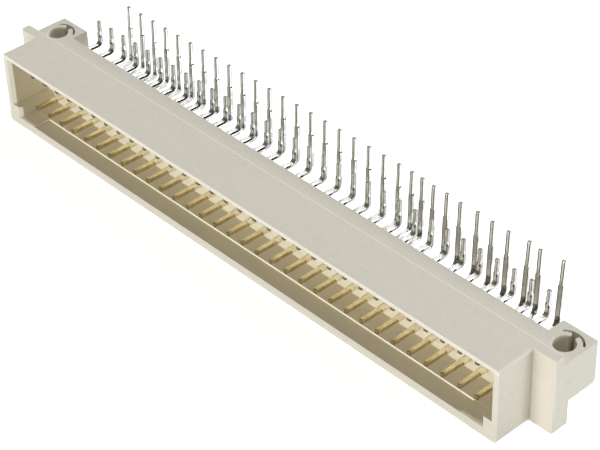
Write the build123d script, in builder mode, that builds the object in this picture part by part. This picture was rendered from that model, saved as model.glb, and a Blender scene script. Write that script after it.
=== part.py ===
"""Board connector with a two-row blade field, right-angle tails and an open mating shroud.

The frame: X runs along the connector, -Y points out of the mating mouth, +Z points to the board side.
The origin lies on the board seat, midway between the two mounting bores.
"""

import os
from math import cos, radians, sin, tan

from build123d import *

# Contact field
pitch = 2.54
columns = 32
row_spacing = 5.08  # between the two loaded rows, and between the two rows of tails
upper_row_z = -0.85  # middle plane of the row next to the board side

# Housing outside
shroud_height = 10.4
shroud_above_seat = 1.4
rim_to_bores = 9.45  # from the mating rim back to the line of the bores
rim_to_flange = 5.35
rim_to_seat_step = 6.7
rim_to_back = 9.95
top_corner_radius = 0.3
bottom_corner_radius = 0.5
back_edge_chamfer = 0.4

# Mating cavity
contact_to_cavity_end = 3.13  # from the middle of the end column
cavity_depth = 5.6
end_wall = 1.2
top_wall = 1.2
bottom_wall = 1.45
lead_in_depth = 0.45
lead_in_side = 0.45
lead_in_bottom = 0.25
relief_inset = 4.15  # from the cavity's end
relief_depth = 2.4
relief_drop = 0.25
key_width = 1.2  # ribs that fill both lower corners of the cavity
key_height = 1.4
key_lead_in = 0.45

# Mounting ends
contact_to_bore = 5.08  # from the middle of the end column
bore_to_end = 2.35
bore_diameter = 2.6
bore_mouth_chamfer = 0.1
block_length = 4.95
block_depth = 7.0
block_height = 5.7
block_chamfer = 0.45
leg_depth = 2.65
flange_edge_radius = 0.2
collar_wall = 0.7
collar_gap = 0.28
collar_gap_start = 30
collar_gap_end = 135
collar_slit = 0.75
collar_lip_radius = 0.25  # on both lips of the slit

# Contacts
strip_thickness = 0.42
strip_width = 0.62
wing_width = 0.88
pin_size = 0.6
pin_taper_length = 0.45
pin_taper_inset = 0.13
rim_to_pin_tip = 1.35
wing_ahead_of_base = 1.15  # the wings seat on the base and stop the blade there
slot_side_clearance = 0.03
near_tail_y = 3.25
tail_above_seat = 2.55
tail_end_width = 0.42
tail_tip_chamfer = 0.1
short_tail_end = 1.8
long_tail_end = 3.2
bend_radius = 0.6  # at the middle of the strip
bend_flats = 3
tail_lean = 2.2  # spring-back of the bends, in degrees
short_strip_droop = 3.0  # in degrees
long_strip_droop = 0.0  # in degrees
kink_behind_body = 0.36

# Bent long tails by column: sideways set, added droop and outward lean, all in degrees
bent_tails = {
    22: (3, 0, 2.2),
    23: (9, 0, 2.2),
    24: (14.2, 1.5, 3.4),
    25: (17.3, 1.2, 4.3),
    26: (19.6, 1.8, 4.1),
    27: (18.6, 1.2, 4.2),
    28: (20.3, 2.2, 4.5),
    29: (21.1, 3.2, 5.5),
    30: (18.3, 3.5, 7.1),
    31: (22.8, 1.8, 5.0),
    32: (18.1, 2.6, 6.7),
}

# Places that follow from the sizes above
contact_span = (columns - 1) * pitch
cavity_length = contact_span + 2 * contact_to_cavity_end
shroud_length = cavity_length + 2 * end_wall
relief_length = cavity_length - 2 * relief_inset
bore_spacing = contact_span + 2 * contact_to_bore
overall_length = bore_spacing + 2 * bore_to_end
rim_y = -rim_to_bores
flange_y = rim_y + rim_to_flange
seat_step_y = rim_y + rim_to_seat_step
back_y = rim_y + rim_to_back
base_y = rim_y + cavity_depth
shroud_top = shroud_above_seat
shroud_bottom = shroud_top - shroud_height
cavity_top = shroud_top - top_wall
cavity_bottom = shroud_bottom + bottom_wall
lower_row_z = upper_row_z - row_spacing
row_middle_z = (upper_row_z + lower_row_z) / 2
far_tail_y = near_tail_y + row_spacing
block_y = flange_y + block_depth
block_inner_x = overall_length / 2 - block_length
wing_front_y = base_y - wing_ahead_of_base
pin_tip_y = rim_y + rim_to_pin_tip
kink_y = back_y + kink_behind_body


def across(y):
    """Plane square to the mating direction at this Y, seen from the mating side."""
    return Plane.XZ.offset(-y)


def column_x(column):
    """Place along the connector of a column, numbered from 1."""
    return (column - (columns + 1) / 2) * pitch


# Housing: one moulding
with BuildPart() as housing:
    # Shroud, from the rim back to the seat step
    with BuildSketch(across(rim_y)) as shroud_outline:
        with Locations((0, (shroud_top + shroud_bottom) / 2)):
            Rectangle(shroud_length, shroud_height)
        fillet(shroud_outline.vertices().group_by(Axis.Y)[-1], top_corner_radius)
        fillet(shroud_outline.vertices().group_by(Axis.Y)[0], bottom_corner_radius)
    extrude(amount=-rim_to_seat_step)

    # Rear body, level with the board seat
    with BuildSketch(Plane.YZ):
        with BuildLine():
            Polyline(
                (seat_step_y, 0),
                (back_y, 0),
                (back_y, shroud_bottom + back_edge_chamfer),
                (back_y - back_edge_chamfer, shroud_bottom),
                (seat_step_y, shroud_bottom),
                close=True,
            )
        make_face()
    extrude(amount=block_inner_x, both=True)

    # Mounting ends: a full-height leg in front and a block behind it under the seat
    with BuildSketch(Plane.YZ.offset(block_inner_x)):
        with BuildLine():
            Polyline(
                (flange_y, shroud_top),
                (seat_step_y, shroud_top),
                (seat_step_y, 0),
                (block_y, 0),
                (block_y, block_chamfer - block_height),
                (block_y - block_chamfer, -block_height),
                (flange_y + leg_depth, -block_height),
                (flange_y + leg_depth, shroud_bottom),
                (flange_y, shroud_bottom),
                close=True,
            )
        make_face()
    square_end = extrude(amount=block_length, mode=Mode.PRIVATE)
    upright_edges = square_end.faces().sort_by(Axis.X)[-1].edges().filter_by(Axis.Z)
    mounting_end = square_end.fillet(flange_edge_radius, upright_edges)
    add(mounting_end)
    mirror(mounting_end, about=Plane.YZ)

    # Mating cavity with its lead-in
    cavity_middle = (cavity_top + cavity_bottom) / 2
    with BuildSketch(across(rim_y)):
        with Locations((0, cavity_middle)):
            Rectangle(cavity_length, cavity_top - cavity_bottom)
    extrude(amount=-cavity_depth, mode=Mode.SUBTRACT)
    with BuildSketch(across(rim_y)):
        with Locations((0, cavity_middle + (lead_in_side - lead_in_bottom) / 2)):
            mouth_height = cavity_top - cavity_bottom + lead_in_side + lead_in_bottom
            Rectangle(cavity_length + 2 * lead_in_side, mouth_height)
    with BuildSketch(across(rim_y + lead_in_depth)):
        with Locations((0, cavity_middle)):
            Rectangle(cavity_length, cavity_top - cavity_bottom)
    loft(mode=Mode.SUBTRACT)

    # Shallow relief along the lower lip
    with BuildSketch(Plane.XY.offset(cavity_bottom)):
        with Locations((0, rim_y + relief_depth / 2)):
            Rectangle(relief_length, relief_depth)
    extrude(amount=-relief_drop, mode=Mode.SUBTRACT)

    # Keying ribs in the lower corners, flush with the rim
    for side in (-1, 1):
        wall_x = side * (cavity_length / 2 + lead_in_side)
        key_x = side * (cavity_length / 2 - key_width)
        with BuildSketch(Plane.XY.offset(cavity_bottom - lead_in_bottom)):
            with BuildLine():
                Polyline(
                    (wall_x, rim_y),
                    (key_x + side * key_lead_in, rim_y),
                    (key_x, rim_y + key_lead_in),
                    (key_x, base_y),
                    (wall_x, base_y),
                    close=True,
                )
            make_face()
        extrude(amount=key_height + lead_in_bottom)

    # Contact slots through the base
    with BuildSketch(across(base_y)):
        with Locations((0, row_middle_z)):
            with GridLocations(pitch, row_spacing, columns, 2):
                Rectangle(strip_width + 2 * slot_side_clearance, strip_thickness)
    extrude(amount=base_y - back_y, mode=Mode.SUBTRACT)

    # Mounting bores, each in a split collar that can spring open towards the back
    gap_radius = bore_diameter / 2 + collar_wall + collar_gap / 2
    with BuildSketch(mode=Mode.PRIVATE) as collar_cut:
        Circle(bore_diameter / 2)
        with Locations((0, gap_radius / 2)):
            Rectangle(collar_slit, gap_radius)
        with BuildLine():
            CenterArc((0, 0), gap_radius, collar_gap_start, collar_gap_end - collar_gap_start)
        trace(line_width=collar_gap)
        slit_middle = (0, (bore_diameter + collar_wall) / 2)
        lip_corners = collar_cut.vertices().sort_by_distance(slit_middle)[:4]
        fillet(lip_corners, collar_lip_radius)
    bore_places = Locations((-bore_spacing / 2, 0), (bore_spacing / 2, 0))
    with BuildSketch():
        with bore_places:
            add(collar_cut.sketch)
    extrude(amount=-block_height, mode=Mode.SUBTRACT)
    with bore_places:
        Cone(
            bore_diameter / 2,
            bore_diameter / 2 + bore_mouth_chamfer,
            bore_mouth_chamfer,
            align=(Align.CENTER, Align.CENTER, Align.MAX),
            mode=Mode.SUBTRACT,
        )


def contact(column, row_z, tail_y, tail_end, formed_droop, set_angle=0, droop=0, lean=tail_lean):
    """One stamped blade: mating pin, winged root on the base, bent strip and narrow solder tail."""
    x = column_x(column)
    # As formed, the tip stands over its row; a blade bent aside keeps its strip and tail lengths
    reach = tail_y - kink_y
    rise = tail_above_seat - row_z
    fall, spring = radians(formed_droop), radians(tail_lean)
    strip_length = (reach * cos(spring) - rise * sin(spring)) / cos(fall - spring)
    tail_length = (rise * cos(fall) + reach * sin(fall)) / cos(fall - spring)

    turn, droop, lean = radians(set_angle), radians(formed_droop + droop), radians(lean)
    corner = (strip_length * cos(droop), -strip_length * sin(droop))
    bend_angle = radians(90) + droop - lean
    bend_setback = bend_radius * tan(bend_angle / 2)
    bend_start = strip_length - bend_setback
    bend_centre = (
        bend_start * cos(droop) + bend_radius * sin(droop),
        -bend_start * sin(droop) + bend_radius * cos(droop),
    )

    def on_bend(share):
        """Point on the bend's middle line, from 0 at the strip to 1 at the tail, in the tail plane."""
        angle = share * bend_angle - droop
        return (
            bend_centre[0] + bend_radius * sin(angle),
            bend_centre[1] - bend_radius * cos(angle),
        )

    def on_tail(distance):
        """Point on the tail's middle line, this far from the bend's corner, in the tail plane."""
        return (corner[0] + distance * sin(lean), corner[1] + distance * cos(lean))

    # The tail plane starts at the kink behind the body and holds the strip's side view.
    tail_plane = Plane(
        origin=(x, kink_y, row_z),
        x_dir=(-sin(turn), cos(turn), 0),
        z_dir=(cos(turn), sin(turn), 0),
    )
    with BuildPart() as blade:
        # Mating pin with a tapered tip
        with BuildSketch(across(wing_front_y)):
            with Locations((x, row_z)):
                Rectangle(pin_size, pin_size)
        extrude(amount=wing_front_y - pin_tip_y)
        pin_end = blade.faces().sort_by(Axis.Y)[0]
        chamfer(pin_end.edges(), pin_taper_inset, pin_taper_length, reference=pin_end)
        # Winged root, then the plain strip to the kink
        for width, start_y, end_y in (
            (wing_width, wing_front_y, base_y),
            (strip_width, base_y, kink_y),
        ):
            with BuildSketch(across(start_y)):
                with Locations((x, row_z)):
                    Rectangle(width, strip_thickness)
            extrude(amount=start_y - end_y)
        if set_angle:
            with BuildSketch(Plane((x, kink_y, row_z - strip_thickness / 2))):
                Circle(strip_width / 2)
            extrude(amount=strip_thickness)
        # Right-angle bend and the full-width part of the tail
        with BuildSketch(tail_plane):
            with BuildLine():
                # A drooping strip turns down at the kink, with a mitre there
                lead = [(-strip_thickness, 0)] if formed_droop else []
                bend = [on_bend(step / bend_flats) for step in range(bend_flats + 1)]
                Polyline(*lead, (0, 0), *bend, on_tail(tail_length - tail_end))
            trace(line_width=strip_thickness)
        extrude(amount=strip_width / 2, both=True)
        # Narrow solder tail
        with BuildSketch(tail_plane):
            with BuildLine():
                Line(on_tail(tail_length - tail_end), on_tail(tail_length))
            trace(line_width=strip_thickness)
        extrude(amount=tail_end_width / 2, both=True)
        chamfer(blade.faces().sort_by(Axis.Z)[-1].edges(), tail_tip_chamfer)
    return blade.part


os.makedirs("parts", exist_ok=True)

housing.part.label = "housing"
export_step(housing.part, "parts/housing.step")

# Long contacts: the lower row feeds the far row of tails
for column in range(1, columns + 1):
    bent = bent_tails.get(column, ())
    blade = contact(column, lower_row_z, far_tail_y, long_tail_end, long_strip_droop, *bent)
    blade.label = f"long_contact_{column:02d}"
    export_step(blade, f"parts/{blade.label}.step")

# Short contacts: the upper row feeds the near row of tails, two columns to a file
for column in range(1, columns + 1, 2):
    pair = Compound(
        children=[
            contact(each, upper_row_z, near_tail_y, short_tail_end, short_strip_droop)
            for each in (column, column + 1)
        ]
    )
    pair.label = f"short_contacts_{column:02d}_{column + 1:02d}"
    export_step(pair, f"parts/{pair.label}.step")
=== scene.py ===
from math import cos, radians, sin

import bmesh
import bpy
import numpy as np
from mathutils import Matrix, Vector


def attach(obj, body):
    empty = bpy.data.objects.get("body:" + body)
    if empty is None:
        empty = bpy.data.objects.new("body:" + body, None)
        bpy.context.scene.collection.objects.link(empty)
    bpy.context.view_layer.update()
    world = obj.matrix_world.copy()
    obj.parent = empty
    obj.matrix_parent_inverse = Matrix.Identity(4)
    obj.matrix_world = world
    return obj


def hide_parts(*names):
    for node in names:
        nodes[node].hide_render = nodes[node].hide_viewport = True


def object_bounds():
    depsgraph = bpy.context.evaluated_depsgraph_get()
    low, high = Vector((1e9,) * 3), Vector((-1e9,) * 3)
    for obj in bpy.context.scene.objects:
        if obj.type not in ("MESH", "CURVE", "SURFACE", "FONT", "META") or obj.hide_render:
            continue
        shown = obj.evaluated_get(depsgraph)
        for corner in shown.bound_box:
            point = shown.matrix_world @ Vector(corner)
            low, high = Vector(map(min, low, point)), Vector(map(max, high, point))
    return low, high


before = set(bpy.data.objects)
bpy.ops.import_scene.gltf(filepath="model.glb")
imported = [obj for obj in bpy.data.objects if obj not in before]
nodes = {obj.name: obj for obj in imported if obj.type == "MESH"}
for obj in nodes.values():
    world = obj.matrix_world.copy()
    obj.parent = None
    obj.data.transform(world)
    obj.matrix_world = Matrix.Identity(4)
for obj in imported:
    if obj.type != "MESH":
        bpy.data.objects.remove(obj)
cad_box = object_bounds()


# Housing
# One long moulding of glass-filled polyester, ivory grey, satin from the spark-eroded mould. Every
# edge comes out slightly round, and the flow of the resin leaves a very faint mottle.


def add_node(tree, kind, values=None, **settings):
    """Adds a shader node, sets its settings, then fills sockets from values: a link or a plain value."""
    node = tree.nodes.new(kind)
    for name, value in settings.items():
        setattr(node, name, value)
    for socket, value in (values or {}).items():
        if isinstance(value, bpy.types.NodeSocket):
            tree.links.new(value, node.inputs[socket])
        else:
            node.inputs[socket].default_value = value
    return node


def math_node(tree, operation, *values):
    """One Math node's result."""
    return add_node(tree, "ShaderNodeMath", dict(enumerate(values)), operation=operation).outputs[0]


def product(tree, first, *others):
    """All the values multiplied together."""
    for other in others:
        first = math_node(tree, "MULTIPLY", first, other)
    return first


def vector_node(tree, operation, *values):
    """One Vector Math node."""
    return add_node(tree, "ShaderNodeVectorMath", dict(enumerate(values)), operation=operation)


def blend_colours(tree, share, first, second, blend_type="MIX"):
    """One colour Mix node's result."""
    values = {0: share, 6: first, 7: second}
    return add_node(tree, "ShaderNodeMix", values, data_type="RGBA", blend_type=blend_type).outputs[2]


def ramp_between(tree, value, low, high):
    """Value carried from low..high to 0..1, smooth and clamped."""
    values = {0: value, 1: low, 2: high}
    return add_node(tree, "ShaderNodeMapRange", values, interpolation_type="SMOOTHSTEP").outputs[0]


def new_material(name):
    """A node material with its Principled shader."""
    material = bpy.data.materials.new(name)
    material.use_nodes = True
    tree = material.node_tree
    return material, tree, tree.nodes["Principled BSDF"]


def object_place(tree):
    """Object coordinates in millimetres."""
    place = add_node(tree, "ShaderNodeTexCoord").outputs["Object"]
    return vector_node(tree, "MULTIPLY", place, (1000, 1000, 1000)).outputs[0]


def noise(tree, place, scale, detail=3.0, roughness=0.5):
    """One Noise texture's value at a place."""
    values = {"Vector": place, "Scale": scale, "Detail": detail, "Roughness": roughness}
    return add_node(tree, "ShaderNodeTexNoise", values).outputs["Fac"]


def near_point(tree, place, point, radii, softness=0.5):
    """1 inside a small ellipsoid round a point, falling smoothly to 0 at its rim."""
    offset = vector_node(tree, "SUBTRACT", place, point).outputs[0]
    in_radii = vector_node(tree, "DIVIDE", offset, radii).outputs[0]
    reach = vector_node(tree, "LENGTH", in_radii).outputs["Value"]
    return ramp_between(tree, reach, 1.0, 1.0 - softness)


grey_ivory, ivory, light_ivory = (0.678, 0.624, 0.508, 1), (0.706, 0.646, 0.520, 1), (0.716, 0.657, 0.538, 1)
# Of the next line's colours, the second is the tone of painted highlights and the third a painted
# bounce-light tint
burnt_resin, painted_highlight_ivory, painted_bounce_yellow = (0.16, 0.13, 0.09, 1), (0.92, 0.87, 0.74, 1), (1.0, 0.985, 0.90, 1)
polyester, tree, shader = new_material("ivory_grey_polyester")
place = object_place(tree)
drawn_out = vector_node(tree, "MULTIPLY", place, (0.16, 0.5, 0.5)).outputs[0]
blotch = noise(tree, drawn_out, 1.0, 3.0)
fleck = noise(tree, place, 1.6, 4.0, 0.6)
grain = noise(tree, place, 9.0, 2.0)
colour = blend_colours(tree, ramp_between(tree, blotch, 0.3, 0.7), grey_ivory, ivory)
colour = blend_colours(tree, ramp_between(tree, fleck, 0.35, 0.7), colour, light_ivory)
# Specks burnt into the resin, the last two being the faint witness of a gate on the right-hand end.
# Middles and radii are in millimetres, and the last number says how strongly each shows.
specks = (
    ((-4.74, -3.16, 1.4), (0.16, 0.16, 0.1), 0.35),
    ((43.7, -7.26, -3.09), (0.1, 0.14, 0.14), 0.35),
    ((-37.36, -9.45, 0.53), (0.14, 0.1, 0.14), 0.4),
    ((46.8, -2.11, -2.89), (0.1, 0.13, 0.13), 0.25),
    ((46.8, -1.7, -2.78), (0.1, 0.5, 0.13), 0.12),
)
# Painted highlights, lighter lines where the light catches: the base between the two rows of roots, the
# ridge of the relief, the edge of the seat step and the top of the rim
painted_highlight_lines = (
    ((0, -3.85, -3.4), (200, 0.06, 4.4), 0.8),
    ((0, -7.05, -7.68), (200, 0.07, 0.22), 1.0),
    ((0, -2.75, 1.4), (200, 0.26, 0.3), 0.45),
    ((0, -9.45, 0.95), (200, 0.12, 0.4), 0.4),
)
for marks, tone in ((specks, burnt_resin), (painted_highlight_lines, painted_highlight_ivory)):
    for middle, radii, strength in marks:
        share = product(tree, near_point(tree, place, middle, radii), strength)
        colour = blend_colours(tree, share, colour, tone)
# Painted bounce light: inside the mouth the colour is made yellower, standing in for the light its walls
# throw on each other
mouth_middle = (0, -6.3, -3.9)
from_mouth = vector_node(tree, "SUBTRACT", place, mouth_middle).outputs[0]
from_mouth = vector_node(tree, "ABSOLUTE", from_mouth).outputs[0]
x_reach, y_reach, z_reach = add_node(tree, "ShaderNodeSeparateXYZ", {0: from_mouth}).outputs
mouth_bounce_share = product(
    tree,
    ramp_between(tree, x_reach, 43.0, 42.4),
    ramp_between(tree, y_reach, 3.1, 2.6),
    ramp_between(tree, z_reach, 4.6, 4.3),
)
colour = blend_colours(tree, mouth_bounce_share, colour, painted_bounce_yellow, "MULTIPLY")
tree.links.new(colour, shader.inputs["Base Color"])
tree.links.new(math_node(tree, "MULTIPLY_ADD", grain, 0.14, 0.42), shader.inputs["Roughness"])
bump = add_node(tree, "ShaderNodeBump", {"Height": grain, "Strength": 0.08, "Distance": 0.00002})
tree.links.new(bump.outputs[0], shader.inputs["Normal"])
shader.inputs["Specular IOR Level"].default_value = 0.35

edge_radius, long_edge_radius, shortest_long_edge = 0.00009, 0.0002, 0.01
rim_y, seat_step_y, shroud_top = -0.00945, -0.00275, 0.0014
lead_in_top, lead_in_rise = 0.00065, 0.00023
doubles_apart, same_place = 1e-6, 2e-5
moulding_shape = bmesh.new()
moulding_shape.from_mesh(nodes["housing"].data)
bmesh.ops.remove_doubles(moulding_shape, verts=moulding_shape.verts, dist=doubles_apart)
bmesh.ops.dissolve_limit(
    moulding_shape, angle_limit=radians(1), verts=moulding_shape.verts, edges=moulding_shape.edges
)
# The two long edges of the shroud's top, at the rim and at the seat step, are rounder than the others
long_edges = [
    edge
    for edge in moulding_shape.edges
    if edge.calc_length() > shortest_long_edge
    and all(
        abs(end.co.z - shroud_top) < same_place
        and min(abs(end.co.y - rim_y), abs(end.co.y - seat_step_y)) < same_place
        for end in edge.verts
    )
]
bmesh.ops.bevel(
    moulding_shape, geom=long_edges, offset=long_edge_radius, segments=3, profile=0.5, affect="EDGES"
)
moulding_mesh = bpy.data.meshes.new("housing_moulding")
moulding_shape.to_mesh(moulding_mesh)
moulding_shape.free()
# The lead-in rises higher into the top wall's rim than into the side walls: the points of its upper
# edge, which lie on the rim at lead_in_top, go up by lead_in_rise
corners = np.empty(3 * len(moulding_mesh.vertices), dtype=np.float32)
moulding_mesh.vertices.foreach_get("co", corners)
corners = corners.reshape(-1, 3)
on_upper_edge = (abs(corners[:, 1] - rim_y) < same_place) & (abs(corners[:, 2] - lead_in_top) < same_place)
corners[on_upper_edge, 2] += lead_in_rise
moulding_mesh.vertices.foreach_set("co", corners.ravel())
moulding_mesh.shade_smooth()
moulding_mesh.materials.append(polyester)
moulding = bpy.data.objects.new("housing_moulding", moulding_mesh)
bpy.context.scene.collection.objects.link(moulding)
rounding = moulding.modifiers.new("round_edges", "BEVEL")
rounding.width = edge_radius
rounding.segments = 2
rounding.limit_method = "ANGLE"
rounding.angle_limit = radians(35)
flattening = moulding.modifiers.new("flat_faces", "WEIGHTED_NORMAL")
flattening.keep_sharp = True
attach(moulding, "root")
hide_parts("housing")


# Long contacts
# Blades stamped from copper alloy strip: gold over nickel on the mating pin, bright tin on the tail.
# They are pressed into the lower row of slots and bent up behind, and those nearest the right-hand
# end are knocked aside. All their sizes are in millimetres.

pitch = 2.54
columns = 32
kink_y, kink_length = 0.86, 0.18
tail_above_seat = 2.543
bend_radius, bend_stations = 0.6, 8
tail_lean = radians(2.2)
blade_corner, corner_limit = 0.07, 0.4
wide, narrow = (0.335, 0.21), (0.24, 0.21)
below_shoulder, above_shoulder = 0.07, 0.03
# Along a pin, from its blunt end through the taper, the square pin and the flat root to the base:
# place along Y, half width, half thickness
pin_stations = (
    (-8.10, 0.22, 0.25),
    (-8.06, 0.255, 0.285),
    (-7.95, 0.27, 0.30),
    (-7.70, 0.275, 0.30),
    (-7.5, 0.275, 0.30),
    (-5.04, 0.275, 0.30),
    (-4.98, 0.44, 0.21),
    (-3.90, 0.44, 0.21),
    (-3.84, 0.31, 0.21),
    (0.70, 0.31, 0.21),
)
taper_stations = 4


def blade_row(name, row_z, tail_y, tail_end, droop, turn, lean, formed_droop, tip_ahead=0.0):
    """A row of blades as one mesh. A rounded rectangle is carried along each blade's middle line.

    The middle line runs straight along Y to the kink, down the strip at its droop, round the bend on
    a circle, then up the tail at its lean. Behind the kink it lies in a plane turned about the
    vertical. Strip and tail are as long as they were formed: with formed_droop and tail_lean, the
    tail would end at tail_y and tail_above_seat. At each station the outline's points are
    side * across + normal * through, where normal stands on the middle line in that plane. Each
    vertex keeps (across, through, distance along) as blade_place, across and through as shares of
    the half width and half thickness there. Returns the piece and how far along shoulder and tip are.
    """
    x = (np.arange(columns) - (columns - 1) / 2) * pitch
    each = np.zeros((columns, 1))
    droop, turn, lean = (each + np.reshape(angle, (-1, 1)) for angle in (droop, turn, lean))
    reach, rise = tail_y - kink_y, tail_above_seat - row_z
    strip = (reach * cos(tail_lean) - rise * sin(tail_lean)) / cos(formed_droop - tail_lean)
    tail = (rise * cos(formed_droop) + reach * sin(formed_droop)) / cos(formed_droop - tail_lean)
    foot = tail - tail_end
    # Stations up to the kink
    pin = np.array(pin_stations)
    pin[:taper_stations, 0] -= tip_ahead
    pin_along = each + pin[:, 0] - kink_y
    still = np.zeros_like(pin_along)
    pin_line = np.stack([still, pin_along, still], -1)
    # Stations behind it, as forward and up in the turned plane, with the line's slope at each
    strip_at = each + [0.0, kink_length]
    share = np.linspace(0, 1, bend_stations)
    bend_angle = np.pi / 2 + droop - lean
    setback = bend_radius * np.tan(bend_angle / 2)
    bend_start = strip - setback
    bend_slope = share * bend_angle - droop
    bend_forward = bend_start * np.cos(droop) + bend_radius * (np.sin(droop) + np.sin(bend_slope))
    bend_up = -bend_start * np.sin(droop) + bend_radius * (np.cos(droop) - np.cos(bend_slope))
    # Along a tail: distance above the strip's line, half width, half thickness
    tail_stations = np.array(
        [
            (foot * 0.6, *wide),
            (foot - below_shoulder, *wide),
            (foot + above_shoulder, *narrow),
            ((foot + tail) / 2, *narrow),
            (tail - 0.3, *narrow),
            (tail - 0.11, *narrow),
            (tail - 0.03, 0.225, 0.2),
            (tail, 0.2, 0.18),
        ]
    )
    tail_at = each + tail_stations[:, 0]
    tail_forward = strip * np.cos(droop) + tail_at * np.sin(lean)
    tail_up = -strip * np.sin(droop) + tail_at * np.cos(lean)
    tail_slope = np.pi / 2 - lean + np.zeros_like(tail_at)
    forward = np.concatenate([strip_at * np.cos(droop), bend_forward, tail_forward], 1)
    up = np.concatenate([-strip_at * np.sin(droop), bend_up, tail_up], 1)
    turned = turn + np.zeros_like(forward)
    turned[:, 0] /= 2
    turned_line = np.stack([-forward * np.sin(turn), forward * np.cos(turn), up], -1)
    # All stations together
    line = np.concatenate([pin_line, turned_line], 1)
    slope = np.concatenate([still, -droop / 2, -droop, bend_slope, tail_slope], 1)
    turned = np.concatenate([still, turned], 1)
    along = np.concatenate([pin_along, strip_at, bend_start + 2 * share * setback, strip + tail_at], 1)
    strip_halves = np.tile(wide, (strip_at.shape[1] + bend_stations, 1))
    halves = np.concatenate([pin[:, 1:], strip_halves, tail_stations[:, 1:]])
    side = np.stack([np.cos(turned), np.sin(turned), np.zeros_like(turned)], -1)
    normal = np.stack([np.sin(turned) * np.sin(slope), -np.cos(turned) * np.sin(slope), np.cos(slope)], -1)
    # The outline: three points on each round corner
    quarter = np.radians(np.arange(4)[:, None] * 90 + [0, 45, 90]).ravel()
    corner = np.repeat([(1, 1), (-1, 1), (-1, -1), (1, -1)], 3, axis=0)
    radius = np.minimum(blade_corner, corner_limit * halves.min(1))[:, None]
    across = (halves[:, :1] - radius) * corner[:, 0] + radius * np.cos(quarter)
    through = (halves[:, 1:] - radius) * corner[:, 1] + radius * np.sin(quarter)
    points = line[:, :, None] + side[:, :, None] * across[..., None]
    points = points + normal[:, :, None] * through[..., None]
    points += np.stack([x, np.full_like(x, kink_y), np.full_like(x, row_z)], -1)[:, None, None]
    shares = (across / halves[:, :1], through / halves[:, 1:], along[..., None])
    marks = np.stack(np.broadcast_arrays(*shares), -1)
    blades, stations, ring = points.shape[:3]
    index = np.arange(blades * stations * ring).reshape(blades, stations, ring)
    beside = np.roll(index, -1, 2)
    quads = np.stack([index[:, :-1], index[:, 1:], beside[:, 1:], beside[:, :-1]], -1)
    faces = quads.reshape(-1, 4).tolist() + index[:, 0].tolist() + index[:, -1, ::-1].tolist()
    mesh = bpy.data.meshes.new(name)
    mesh.from_pydata((points / 1000).reshape(-1, 3), [], faces)
    mesh.shade_smooth()
    mesh.set_sharp_from_angle(angle=radians(50))
    mesh.attributes.new("blade_place", "FLOAT_VECTOR", "POINT").data.foreach_set("vector", marks.ravel())
    piece = bpy.data.objects.new(name, mesh)
    bpy.context.scene.collection.objects.link(piece)
    weighting = piece.modifiers.new("flat_sides", "WEIGHTED_NORMAL")
    weighting.keep_sharp = True
    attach(piece, "root")
    return piece, strip + foot, strip + tail


def new_group(name, inputs, outputs):
    """An empty shader node group with these named sockets, and its input and output nodes."""
    group = bpy.data.node_groups.new(name, "ShaderNodeTree")
    for title, socket_type in inputs.items():
        group.interface.new_socket(title, in_out="INPUT", socket_type=socket_type)
    for title, socket_type in outputs.items():
        group.interface.new_socket(title, in_out="OUTPUT", socket_type=socket_type)
    return group, group.nodes.new("NodeGroupInput").outputs, group.nodes.new("NodeGroupOutput")


# Finish of a stamped and plated blade, for both rows, with painted shade and highlights on the tin.
# Shoulder, Tip and Foot (in the bend) are places along the blade, in millimetres behind the kink. Knocked is
# how many millimetres sooner the painted shade at the bend starts on the blades knocked aside. Nick and
# Shoulder Line say how strongly each shows.
plating, given, result = new_group(
    "stamped_plating",
    {
        "Shoulder": "NodeSocketFloat",
        "Tip": "NodeSocketFloat",
        "Foot": "NodeSocketFloat",
        "Rolled Tin": "NodeSocketColor",
        "Sheared Tin": "NodeSocketColor",
        "Strip Tin": "NodeSocketColor",
        "Bend Shade Tin": "NodeSocketColor",
        "Nick": "NodeSocketFloat",
        "Knocked": "NodeSocketFloat",
        "Shoulder Line": "NodeSocketFloat",
    },
    {"Color": "NodeSocketColor", "Roughness": "NodeSocketFloat"},
)
# Tones for painted shade on the rolled face's edges and the sheared sides' backs, then worn tin; on the next
# line a painted highlight tone and the dark streak's tone
edge_shade_tint, back_shade_tint, worn_tint = (0.42, 0.41, 0.39, 1), (0.42, 0.42, 0.40, 1), (0.78, 0.76, 0.71, 1)
highlight_tin, dark_streak_tin = (1.0, 0.99, 0.96, 1), (0.018, 0.017, 0.014, 1)
deep_gold, light_gold = (0.61, 0.50, 0.30, 1), (0.77, 0.68, 0.46, 1)
deep_root_gold, light_root_gold = (0.70, 0.62, 0.47, 1), (0.83, 0.78, 0.62, 1)
nick_dark, shoulder_dark = (0.035, 0.03, 0.02, 1), (0.05, 0.045, 0.035, 1)
cut_tail, cut_and_shaded_pin = (0.19, 0.185, 0.16, 1), (0.17, 0.13, 0.07, 1)
tree = plating
spot = add_node(tree, "ShaderNodeAttribute", attribute_name="blade_place").outputs["Vector"]
across, through, along = add_node(tree, "ShaderNodeSeparateXYZ", {0: spot}).outputs
place = object_place(tree)
x_place = add_node(tree, "ShaderNodeSeparateXYZ", {0: place}).outputs["X"]
wear = noise(tree, place, 1.7, 4.0, 0.6)
from_middle = math_node(tree, "ABSOLUTE", across)
past_shoulder = math_node(tree, "SUBTRACT", along, given["Shoulder"])
past_foot = math_node(tree, "SUBTRACT", along, given["Foot"])
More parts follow.
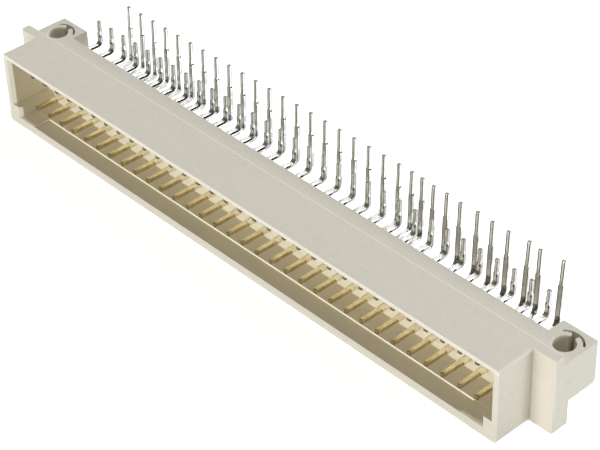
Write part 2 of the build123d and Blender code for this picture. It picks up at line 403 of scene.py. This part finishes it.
# The rolled face has painted shade towards its edges and a painted highlight down the middle of its narrow
# end, and on the strip the strip's tone: lit and shaded copies of one tin
on_narrow = ramp_between(tree, past_shoulder, -0.2, 1.0)
towards_edge = math_node(tree, "MULTIPLY_ADD", on_narrow, 0.25, from_middle)
edge_shade_share = ramp_between(tree, towards_edge, 0.4, 0.8)
rolled = blend_colours(tree, edge_shade_share, given["Rolled Tin"], edge_shade_tint, "MULTIPLY")
highlight_streak = product(tree, ramp_between(tree, from_middle, 0.45, 0.2), on_narrow)
rolled = blend_colours(tree, highlight_streak, rolled, highlight_tin)
rolled = blend_colours(tree, ramp_between(tree, past_foot, 0.0, -0.6), rolled, given["Strip Tin"])
# The sheared sides have painted shade towards the back
back_shade_share = ramp_between(tree, through, -0.2, -0.55)
sheared = blend_colours(tree, back_shade_share, given["Sheared Tin"], back_shade_tint, "MULTIPLY")
side_share = ramp_between(tree, from_middle, 0.88, 0.97)
tin = blend_colours(tree, side_share, rolled, sheared)
# Painted shade round the inside of the bend, broken up by noise
knocked = product(tree, ramp_between(tree, x_place, 12, 20), given["Knocked"])
bend_shade = product(
    tree,
    ramp_between(tree, math_node(tree, "ADD", past_foot, knocked), -0.6, -0.4),
    ramp_between(tree, past_foot, 0.8, 0.4),
    ramp_between(tree, noise(tree, place, 2.6, 2.0), 0.25, 0.45),
    ramp_between(tree, through, 0.2, 0.8),
)
tin = blend_colours(tree, bend_shade, tin, given["Bend Shade Tin"])
tin = blend_colours(tree, ramp_between(tree, wear, 0.45, 0.8), tin, worn_tint, "MULTIPLY")
# Gold on the pin, paler on its root, and tin from inside the base onwards
gold = blend_colours(tree, ramp_between(tree, wear, 0.35, 0.65), deep_gold, light_gold)
root_gold = blend_colours(tree, ramp_between(tree, wear, 0.4, 0.65), deep_root_gold, light_root_gold)
gold = blend_colours(tree, ramp_between(tree, along, -5.9, -5.8), gold, root_gold)
colour = blend_colours(tree, ramp_between(tree, along, -4.0, -3.0), gold, tin)
# Dark streak on the sheared sides: unbroken along the first part of the strip, which is longer towards the
# left-hand end, and in pieces above
from_streak = math_node(tree, "ABSOLUTE", math_node(tree, "SUBTRACT", through, 0.35))
in_pieces = product(
    tree,
    ramp_between(tree, noise(tree, place, 0.8, 1.0), 0.45, 0.55),
    0.4,
    ramp_between(tree, past_shoulder, 1.0, -0.5),
)
unbroken_end = math_node(tree, "MULTIPLY_ADD", ramp_between(tree, x_place, 5, -15), 1.6, 0.9)
unbroken = ramp_between(tree, math_node(tree, "SUBTRACT", along, unbroken_end), 0.3, -0.2)
streak = product(
    tree,
    math_node(tree, "MAXIMUM", unbroken, in_pieces),
    ramp_between(tree, along, -1.0, -0.4),
    ramp_between(tree, from_streak, 0.82, 0.68),
    side_share,
)
colour = blend_colours(tree, streak, colour, dark_streak_tin)
# Two dark nicks on the front of each tail, at the shoulder and a little under it
mark = add_node(tree, "ShaderNodeCombineXYZ", {0: across, 1: past_shoulder, 2: through}).outputs[0]
upper_nick = product(tree, near_point(tree, mark, (-0.45, 0.05, 1.0), (0.4, 0.17, 0.4)), 0.9)
lower_nick = near_point(tree, mark, (0.6, -0.36, 1.0), (0.5, 0.22, 0.5))
nick = product(tree, math_node(tree, "MAXIMUM", upper_nick, lower_nick), given["Nick"])
colour = blend_colours(tree, nick, colour, nick_dark)
# A dark line across the right-hand sheared side where the narrow end begins, on the straight blades
from_shoulder = math_node(tree, "ABSOLUTE", past_shoulder)
shoulder_line = product(
    tree,
    ramp_between(tree, from_shoulder, 0.13, 0.07),
    ramp_between(tree, across, 0.86, 0.94),
    ramp_between(tree, x_place, 17, 15),
    given["Shoulder Line"],
)
colour = blend_colours(tree, shoulder_line, colour, shoulder_dark)
# The cut tips: copper shows over the tail's end face, and over the pin's blunt end; on the pin the dark runs
# back over the sides of its taper as painted shade
from_tip = math_node(tree, "SUBTRACT", given["Tip"], along)
tail_cut = ramp_between(tree, from_tip, 0.10, 0.04)
pin_cut_and_shade = ramp_between(tree, along, -8.80, -8.92)
colour = blend_colours(tree, tail_cut, colour, cut_tail)
colour = blend_colours(tree, pin_cut_and_shade, colour, cut_and_shaded_pin)
tree.links.new(colour, result.inputs["Color"])
bare_and_shaded = math_node(tree, "MAXIMUM", tail_cut, pin_cut_and_shade)
dull = math_node(tree, "MAXIMUM", math_node(tree, "MAXIMUM", streak, bare_and_shaded), nick)
roughness = math_node(tree, "MULTIPLY_ADD", wear, 0.16, 0.16)
roughness = math_node(tree, "MULTIPLY_ADD", dull, 0.3, roughness)
tree.links.new(roughness, result.inputs["Roughness"])


def blade_finish(name, values):
    """Metal of one row of blades, with the group's inputs set from values."""
    material, tree, shader = new_material(name)
    finish = add_node(tree, "ShaderNodeGroup", node_tree=plating)
    for title, value in values.items():
        finish.inputs[title].default_value = value
    tree.links.new(finish.outputs["Color"], shader.inputs["Base Color"])
    tree.links.new(finish.outputs["Roughness"], shader.inputs["Roughness"])
    shader.inputs["Metallic"].default_value = 1.0
    return material


# The blades knocked aside, by column: turn, droop and outward lean, in degrees
as_formed = (0, 0, 2.2)
knocked_aside = {
    22: (3, 0, 2.2),
    23: (9, 0, 2.2),
    24: (14.2, 1.5, 3.4),
    25: (17.3, 1.2, 4.3),
    26: (19.6, 1.8, 4.1),
    27: (18.6, 1.2, 4.2),
    28: (20.3, 2.2, 4.5),
    29: (21.1, 3.2, 5.5),
    30: (18.3, 3.5, 7.1),
    31: (22.8, 1.8, 5.0),
    32: (18.1, 2.6, 6.7),
}
set_of_each = np.radians([knocked_aside.get(column, as_formed) for column in range(1, columns + 1)])
long_row, shoulder, tip = blade_row(
    "long_contact_row",
    row_z=-5.93,
    tail_y=8.33,
    tail_end=3.2,
    droop=set_of_each[:, 1],
    turn=set_of_each[:, 0],
    lean=set_of_each[:, 2],
    formed_droop=0.0,
)
# This row's tones differ from the short row's, though it is the same tin: lit and shaded copies, the rolled
# faces painted darker as painted shade and the sheared sides painted lighter
long_plating = blade_finish(
    "long_blade_plating",
    {
        "Shoulder": shoulder,
        "Tip": tip,
        "Foot": 7.7,
        "Rolled Tin": (0.47, 0.46, 0.42, 1),
        "Sheared Tin": (0.90, 0.89, 0.86, 1),
        "Strip Tin": (0.90, 0.89, 0.87, 1),
        "Bend Shade Tin": (0.12, 0.11, 0.09, 1),
        "Nick": 0.2,
        "Knocked": 0.9,
        "Shoulder Line": 1.0,
    },
)
long_row.data.materials.append(long_plating)
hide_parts(*(f"long_contact_{column:02d}" for column in range(1, columns + 1)))


# Short contacts
# The same strip and plating in the upper row of slots, next to the board side. The strips droop a
# little behind the body, and the narrow ends of the tails are shorter. None is knocked aside.

strip_droop = radians(3.0)
short_row, shoulder, tip = blade_row(
    "short_contact_row",
    row_z=-0.85,
    tail_y=3.25,
    tail_end=1.8,
    droop=strip_droop,
    turn=0.0,
    lean=tail_lean,
    formed_droop=strip_droop,
    tip_ahead=0.13,
)
# This row's tones differ from the long row's, though it is the same tin: lit and shaded copies, the rolled
# faces painted lighter and the sheared sides painted darker
short_plating = blade_finish(
    "short_blade_plating",
    {
        "Shoulder": shoulder,
        "Tip": tip,
        "Foot": 2.2,
        "Rolled Tin": (0.80, 0.82, 0.81, 1),
        "Sheared Tin": (0.66, 0.66, 0.62, 1),
        "Strip Tin": (0.90, 0.89, 0.87, 1),
        "Bend Shade Tin": (0.22, 0.21, 0.17, 1),
        "Nick": 1.0,
        "Knocked": 0.0,
        "Shoulder Line": 0.0,
    },
)
short_row.data.materials.append(short_plating)
first_of_pair = range(1, columns + 1, 2)
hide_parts(*(f"short_contacts_{column:02d}_{column + 1:02d}" for column in first_of_pair))


# Table and light
# A white table under the connector, a low soft lamp in front, a cooler one to the right and one
# above from behind. The table glows a little to the camera and in reflections, so that it stays white.

table_half = 1.5
table_z = cad_box[0].z
table_glow = 0.7
table_mesh = bpy.data.meshes.new("table")
table_mesh.from_pydata(
    [(x * table_half, y * table_half, table_z) for x, y in ((-1, -1), (1, -1), (1, 1), (-1, 1))],
    [],
    [(0, 1, 2, 3)],
)
table = bpy.data.objects.new("table", table_mesh)
bpy.context.scene.collection.objects.link(table)
table_white, tree, shader = new_material("white_table")
shader.inputs["Base Color"].default_value = (0.82, 0.82, 0.82, 1)
shader.inputs["Roughness"].default_value = 0.9
shader.inputs["Specular IOR Level"].default_value = 0.0
ray = add_node(tree, "ShaderNodeLightPath").outputs
mirrored = math_node(tree, "MAXIMUM", ray["Is Glossy Ray"], ray["Is Transmission Ray"])
seen = math_node(tree, "MAXIMUM", mirrored, ray["Is Camera Ray"])
glow = add_node(tree, "ShaderNodeEmission", {"Strength": product(tree, seen, table_glow)})
both = add_node(tree, "ShaderNodeAddShader", {0: shader.outputs[0], 1: glow.outputs[0]})
tree.links.new(both.outputs[0], tree.nodes["Material Output"].inputs["Surface"])
table_mesh.materials.append(table_white)

# The world is white to the camera, darker towards the front in reflections, and lights the object
# with a faint cool level
fill_level, fill_tint, seen_tint = 0.22, (0.96, 0.99, 1.04, 1), (1, 1, 1, 1)
front_mirrored, back_mirrored = 0.3, 1.0
world = bpy.data.worlds.new("studio")
bpy.context.scene.world = world
world.use_nodes = True
tree = world.node_tree
background = tree.nodes["Background"]
ray = add_node(tree, "ShaderNodeLightPath").outputs
mirrored = math_node(tree, "MAXIMUM", ray["Is Glossy Ray"], ray["Is Transmission Ray"])
seen = math_node(tree, "MAXIMUM", mirrored, ray["Is Camera Ray"])
direction = add_node(tree, "ShaderNodeTexCoord").outputs["Generated"]
towards_back = add_node(tree, "ShaderNodeSeparateXYZ", {0: direction}).outputs["Y"]
behind = ramp_between(tree, towards_back, -0.6, 0.0)
seen_level = math_node(tree, "MULTIPLY_ADD", behind, back_mirrored - front_mirrored, front_mirrored)
seen_level = math_node(tree, "MAXIMUM", seen_level, ray["Is Camera Ray"])
level = add_node(tree, "ShaderNodeMix", {0: seen, 2: fill_level, 3: seen_level}, data_type="FLOAT")
tree.links.new(blend_colours(tree, seen, fill_tint, seen_tint), background.inputs["Color"])
tree.links.new(level.outputs[0], background.inputs["Strength"])


def soft_lamp(name, position, width, height, power, colour):
    """An oblong soft lamp aimed at the connector."""
    lamp = bpy.data.lights.new(name, "AREA")
    lamp.shape = "RECTANGLE"
    lamp.size, lamp.size_y = width, height
    lamp.energy = power
    lamp.color = colour
    lamp_object = bpy.data.objects.new(name, lamp)
    aimed = (-Vector(position)).to_track_quat("-Z", "Y").to_matrix().to_4x4()
    lamp_object.matrix_world = Matrix.Translation(position) @ aimed
    bpy.context.scene.collection.objects.link(lamp_object)


soft_lamp("front_lamp", (0.05, -1.0, 0.09), width=0.6, height=0.16, power=7.6, colour=(0.99, 1.0, 1.02))
soft_lamp("right_lamp", (0.92, 0.28, 0.15), width=0.5, height=0.3, power=3.95, colour=(0.93, 1.0, 1.09))
soft_lamp("top_lamp", (0.0, 0.75, 0.8), width=0.6, height=0.6, power=8.9, colour=(0.96, 1.0, 1.07))


# Camera
# Looks down on the front right corner from about 0.23 m, through a long lens, tilted a little.

camera_azimuth, camera_elevation, camera_roll = radians(48.332), radians(37.565), radians(-2.053)
camera_distance = 0.22955
aim = Vector((0.007677, -0.004383, -0.001677))
camera_data = bpy.data.cameras.new("camera")
camera_data.sensor_width = 36
camera_data.lens = 117.58
camera_data.clip_start = 0.01
back = Vector(
    (
        sin(camera_azimuth) * cos(camera_elevation),
        -cos(camera_azimuth) * cos(camera_elevation),
        sin(camera_elevation),
    )
)
level_right = Vector((cos(camera_azimuth), sin(camera_azimuth), 0))
upright = Matrix((level_right, back.cross(level_right), back)).transposed()
tilted = upright @ Matrix.Rotation(camera_roll, 3, "Z")
camera = bpy.data.objects.new("camera", camera_data)
camera.matrix_world = Matrix.Translation(aim + back * camera_distance) @ tilted.to_4x4()
bpy.context.scene.collection.objects.link(camera)
bpy.context.scene.camera = camera

bpy.context.scene.view_settings.view_transform = "Standard"
